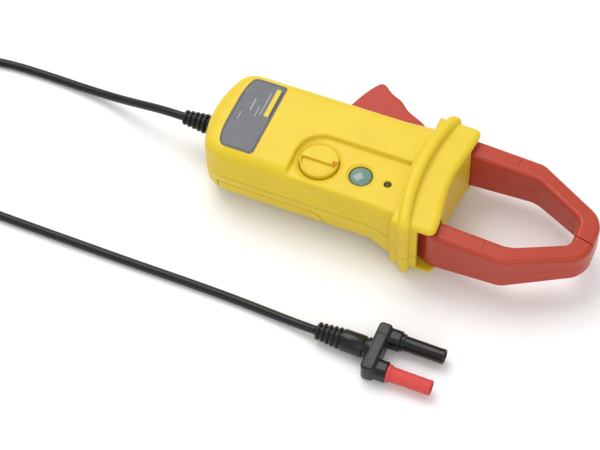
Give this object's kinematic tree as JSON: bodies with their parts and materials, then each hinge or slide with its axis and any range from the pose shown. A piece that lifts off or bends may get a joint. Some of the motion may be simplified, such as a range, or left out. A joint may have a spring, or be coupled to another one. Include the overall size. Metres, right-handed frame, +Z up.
{
  "type": "clamp meter",
  "caption": "Current clamp with a flanged yellow housing, geared red jaws opened by a side trigger, zero knob, power button, battery door and a cord ending in a shrouded twin plug",
  "frame": {"origin": "The bottom of the barrier flange, on the centre plane, where the object rests on a table", "axes": "X from the tail to the jaw tips, Y from the centre plane to the trigger side, Z up through the label"},
  "size_m": [0.3949, 0.1565, 0.048],
  "materials": {
    "top_shell": "satin moulded yellow",
    "bottom_shell": "satin moulded yellow",
    "battery_door": "satin moulded yellow",
    "label_plate": "printed grey plate",
    "casing_screws": "zinc plated",
    "circuit_board": "solder mask",
    "board_chips": "moulded black",
    "board_screws": "zinc plated",
    "zero_trimmer": "moulded blue",
    "button_switch": "moulded black",
    "lamp": "translucent",
    "battery": "painted can",
    "battery_snap": "vinyl",
    "foam_pad": "closed cell foam",
    "pivot_pins": "ground",
    "closing_spring": "music wire",
    "strain_relief": "matt black",
    "door_screw": "zinc plated",
    "zero_knob": "satin moulded yellow",
    "knob_pointer": "printed orange",
    "trimmer_shaft": "moulded white",
    "power_button": "silicone",
    "button_spring": "music wire",
    "far_jaw_upper": "moulded red",
    "far_jaw_lower": "moulded red",
    "near_jaw_upper": "moulded red",
    "near_jaw_lower": "moulded red",
    "far_core": "laminated steel",
    "near_core": "laminated steel",
    "far_sensor": "solder mask",
    "near_sensor": "solder mask",
    "far_bush": "turned",
    "near_bush": "turned",
    "far_jaw_screws": "zinc plated",
    "near_jaw_screws": "zinc plated",
    "trigger": "moulded red",
    "far_sector": "moulded black nylon",
    "near_sector": "moulded nylon",
    "cord_out": "matt black",
    "cord_coil": "matt black",
    "cord_back": "matt black",
    "coil_tie": "moulded nylon",
    "plug_relief": "matt black",
    "plug_neck": "moulded black",
    "plug_block": "moulded black",
    "black_sleeve": "moulded black",
    "red_sleeve": "moulded red",
    "plug_pins": "nickel plated"
  },
  "bodies": {
    "housing": {"top_shell": "top_shell", "bottom_shell": "bottom_shell", "label_plate": "label_plate", "casing_screws": "casing_screws", "circuit_board": "circuit_board", "board_chips": "board_chips", "board_screws": "board_screws", "zero_trimmer": "zero_trimmer", "button_switch": "button_switch", "lamp": "lamp", "battery": "battery", "battery_snap": "battery_snap", "foam_pad": "foam_pad", "pivot_pins": "pivot_pins", "closing_spring": "closing_spring", "strain_relief": "strain_relief", "cord_out": "cord_out", "cord_coil": "cord_coil", "cord_back": "cord_back", "coil_tie": "coil_tie", "plug_relief": "plug_relief", "plug_neck": "plug_neck", "plug_block": "plug_block", "black_sleeve": "black_sleeve", "red_sleeve": "red_sleeve", "plug_pins": "plug_pins"},
    "battery_door": {"battery_door": "battery_door"},
    "door_screw": {"door_screw": "door_screw"},
    "far_jaw": {"far_jaw_upper": "far_jaw_upper", "far_jaw_lower": "far_jaw_lower", "far_core": "far_core", "far_sensor": "far_sensor", "far_bush": "far_bush", "far_jaw_screws": "far_jaw_screws", "far_sector": "far_sector", "trigger": "trigger"},
    "near_jaw": {"near_jaw_upper": "near_jaw_upper", "near_jaw_lower": "near_jaw_lower", "near_core": "near_core", "near_sensor": "near_sensor", "near_bush": "near_bush", "near_jaw_screws": "near_jaw_screws", "near_sector": "near_sector"},
    "zero_knob": {"zero_knob": "zero_knob", "knob_pointer": "knob_pointer", "trimmer_shaft": "trimmer_shaft"},
    "power_button": {"power_button": "power_button", "button_spring": "button_spring"}
  },
  "joints": [
    {"name": "jaw_open", "type": "hinge", "parent": "housing", "child": "far_jaw", "pos_m": [0.002, 0.02, 0.0226], "axis": [0, 0, 1], "range_deg": [0, 10.5], "stiffness_Nm_per_rad": 0.5, "springref_deg": -28.65},
    {"name": "near_jaw_open", "type": "hinge", "parent": "housing", "child": "near_jaw", "pos_m": [0.002, -0.02, 0.0226], "axis": [0, 0, 1], "range_deg": [-10.5, 0]},
    {"name": "zero_turn", "type": "hinge", "parent": "housing", "child": "zero_knob", "pos_m": [-0.0489, -0.0133, 0.0385], "axis": [0, 0, 1], "range_deg": [-140, 140]},
    {"name": "power_press", "type": "slide", "parent": "housing", "child": "power_button", "axis": [0, 0, -1], "range_m": [0, 0.0012], "stiffness_N_per_m": 900, "springref_m": -0.001, "deforming": ["button_spring"]},
    {"name": "door_lift", "type": "slide", "parent": "housing", "child": "battery_door", "axis": [0, 0, -1], "range_m": [0, 0.014]},
    {"name": "door_screw_turn", "type": "hinge", "parent": "battery_door", "child": "door_screw", "pos_m": [-0.0963, -0.0102, 0.01], "axis": [0, 0, 1], "continuous": true}
  ],
  "couplings": [
    {"joint": "near_jaw_open", "follows": "jaw_open", "ratio": -1}
  ]
}
